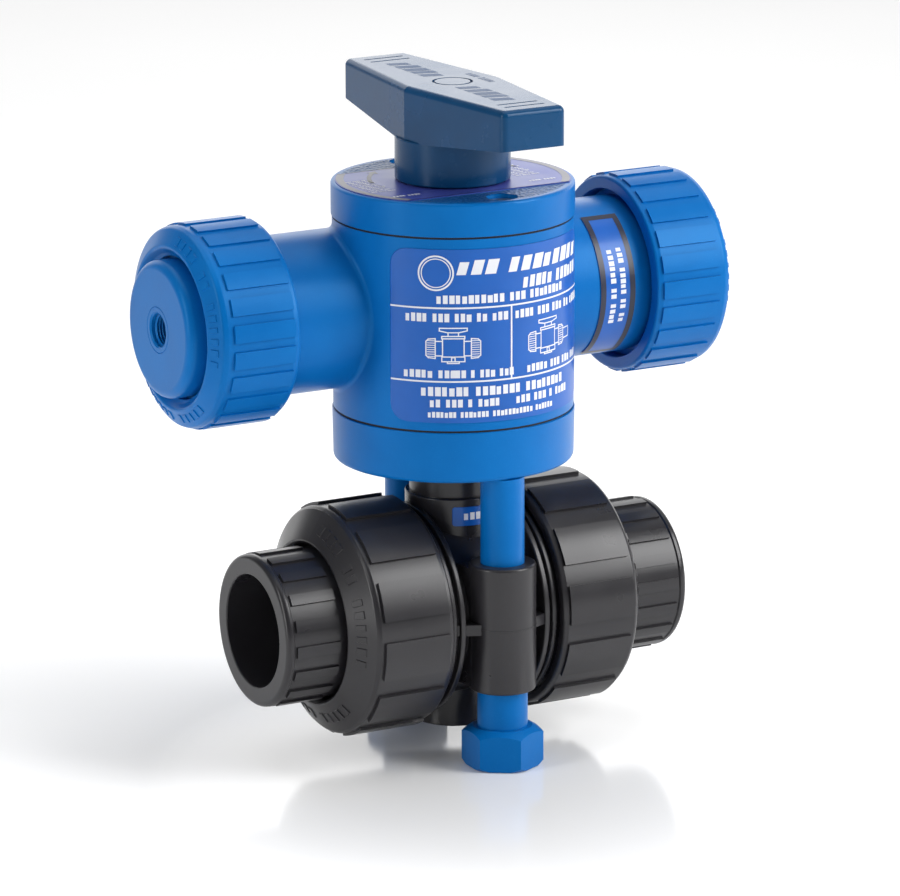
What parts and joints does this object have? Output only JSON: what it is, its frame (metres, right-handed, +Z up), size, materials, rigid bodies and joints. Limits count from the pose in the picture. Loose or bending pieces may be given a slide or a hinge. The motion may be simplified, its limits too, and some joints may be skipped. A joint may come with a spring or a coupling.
{
  "type": "quarter-turn pneumatic valve actuator",
  "caption": "Plastic rack-and-pinion air actuator with a position handle, bolted over a ball valve with union ends.",
  "frame": {"origin": "on the stem axis, in the plane that the two hexagon heads stand on", "axes": "+Z up the stem axis to the handle, +X along the pipe and the air cylinder to the right-hand end, +Y to the back, where the air cylinder is offset"},
  "size_m": [0.182, 0.0958, 0.1996],
  "materials": {
    "housing_blue": "satin moulded nylon",
    "handle_blue": "smooth moulded nylon",
    "valve_black": "polished rigid PVC",
    "seal_rubber": "plain",
    "screw_steel": "zinc plated",
    "shaft_steel": "turned and cut",
    "piston_alloy": "anodised",
    "bearing_plastic": "moulded acetal",
    "seat_white": "turned fluoropolymer",
    "label_film": "printed film"
  },
  "bodies": {
    "housing": {"actuator_body": "housing_blue", "top_cover": "housing_blue", "bottom_cover": "housing_blue", "upper_gasket": "seal_rubber", "lower_gasket": "seal_rubber", "top_cover_screws": "screw_steel", "upper_shaft_bearing": "bearing_plastic", "lower_shaft_bearing": "bearing_plastic", "upper_shaft_seal": "seal_rubber", "lower_shaft_seal": "seal_rubber", "valve_body": "valve_black", "seat_carrier": "valve_black", "carrier_seal": "seal_rubber", "mounting_bolts": "housing_blue", "top_label": "label_film", "front_label": "label_film", "port_label": "label_film", "neck_label": "label_film", "end_cap_left": "housing_blue", "end_cap_seal_left": "seal_rubber", "ball_seat_left": "seat_white", "end_connector_left": "valve_black", "union_seal_left": "seal_rubber", "end_cap_right": "housing_blue", "end_cap_seal_right": "seal_rubber", "ball_seat_right": "seat_white", "end_connector_right": "valve_black", "union_seal_right": "seal_rubber"},
    "rotor": {"position_handle": "handle_blue", "pinion_shaft": "shaft_steel", "valve_stem": "valve_black", "valve_ball": "valve_black", "stem_seals": "seal_rubber"},
    "piston": {"rack_piston": "piston_alloy", "piston_seal_left": "seal_rubber", "piston_seal_right": "seal_rubber", "piston_wear_ring_left": "bearing_plastic", "piston_wear_ring_right": "bearing_plastic"},
    "retaining_nut_left_body": {"retaining_nut_left": "housing_blue"},
    "retaining_nut_right_body": {"retaining_nut_right": "housing_blue"},
    "union_nut_left_body": {"union_nut_left": "valve_black"},
    "union_nut_right_body": {"union_nut_right": "valve_black"}
  },
  "joints": [
    {"name": "handle_turn", "type": "hinge", "parent": "housing", "child": "rotor", "pos_m": [0, 0, 0.1334], "axis": [0, 0, 1], "range_deg": [0, 90]},
    {"name": "piston_slide", "type": "slide", "parent": "housing", "child": "piston", "axis": [1, 0, 0], "range_m": [-0.01768, 0]},
    {"name": "retaining_nut_left_turn", "type": "hinge", "parent": "housing", "child": "retaining_nut_left_body", "pos_m": [-0.07, 0.0118, 0.1334], "axis": [-1, 0, 0], "range_deg": [0, 120]},
    {"name": "union_nut_left_turn", "type": "hinge", "parent": "housing", "child": "union_nut_left_body", "pos_m": [-0.03, 0, 0.0427], "axis": [-1, 0, 0], "range_deg": [0, 120]},
    {"name": "retaining_nut_right_turn", "type": "hinge", "parent": "housing", "child": "retaining_nut_right_body", "pos_m": [0.07, 0.0118, 0.1334], "axis": [1, 0, 0], "range_deg": [0, 120]},
    {"name": "union_nut_right_turn", "type": "hinge", "parent": "housing", "child": "union_nut_right_body", "pos_m": [0.03, 0, 0.0427], "axis": [1, 0, 0], "range_deg": [0, 120]}
  ],
  "couplings": [
    {"joint": "piston_slide", "follows": "handle_turn", "m_per_rad": -0.01125}
  ]
}
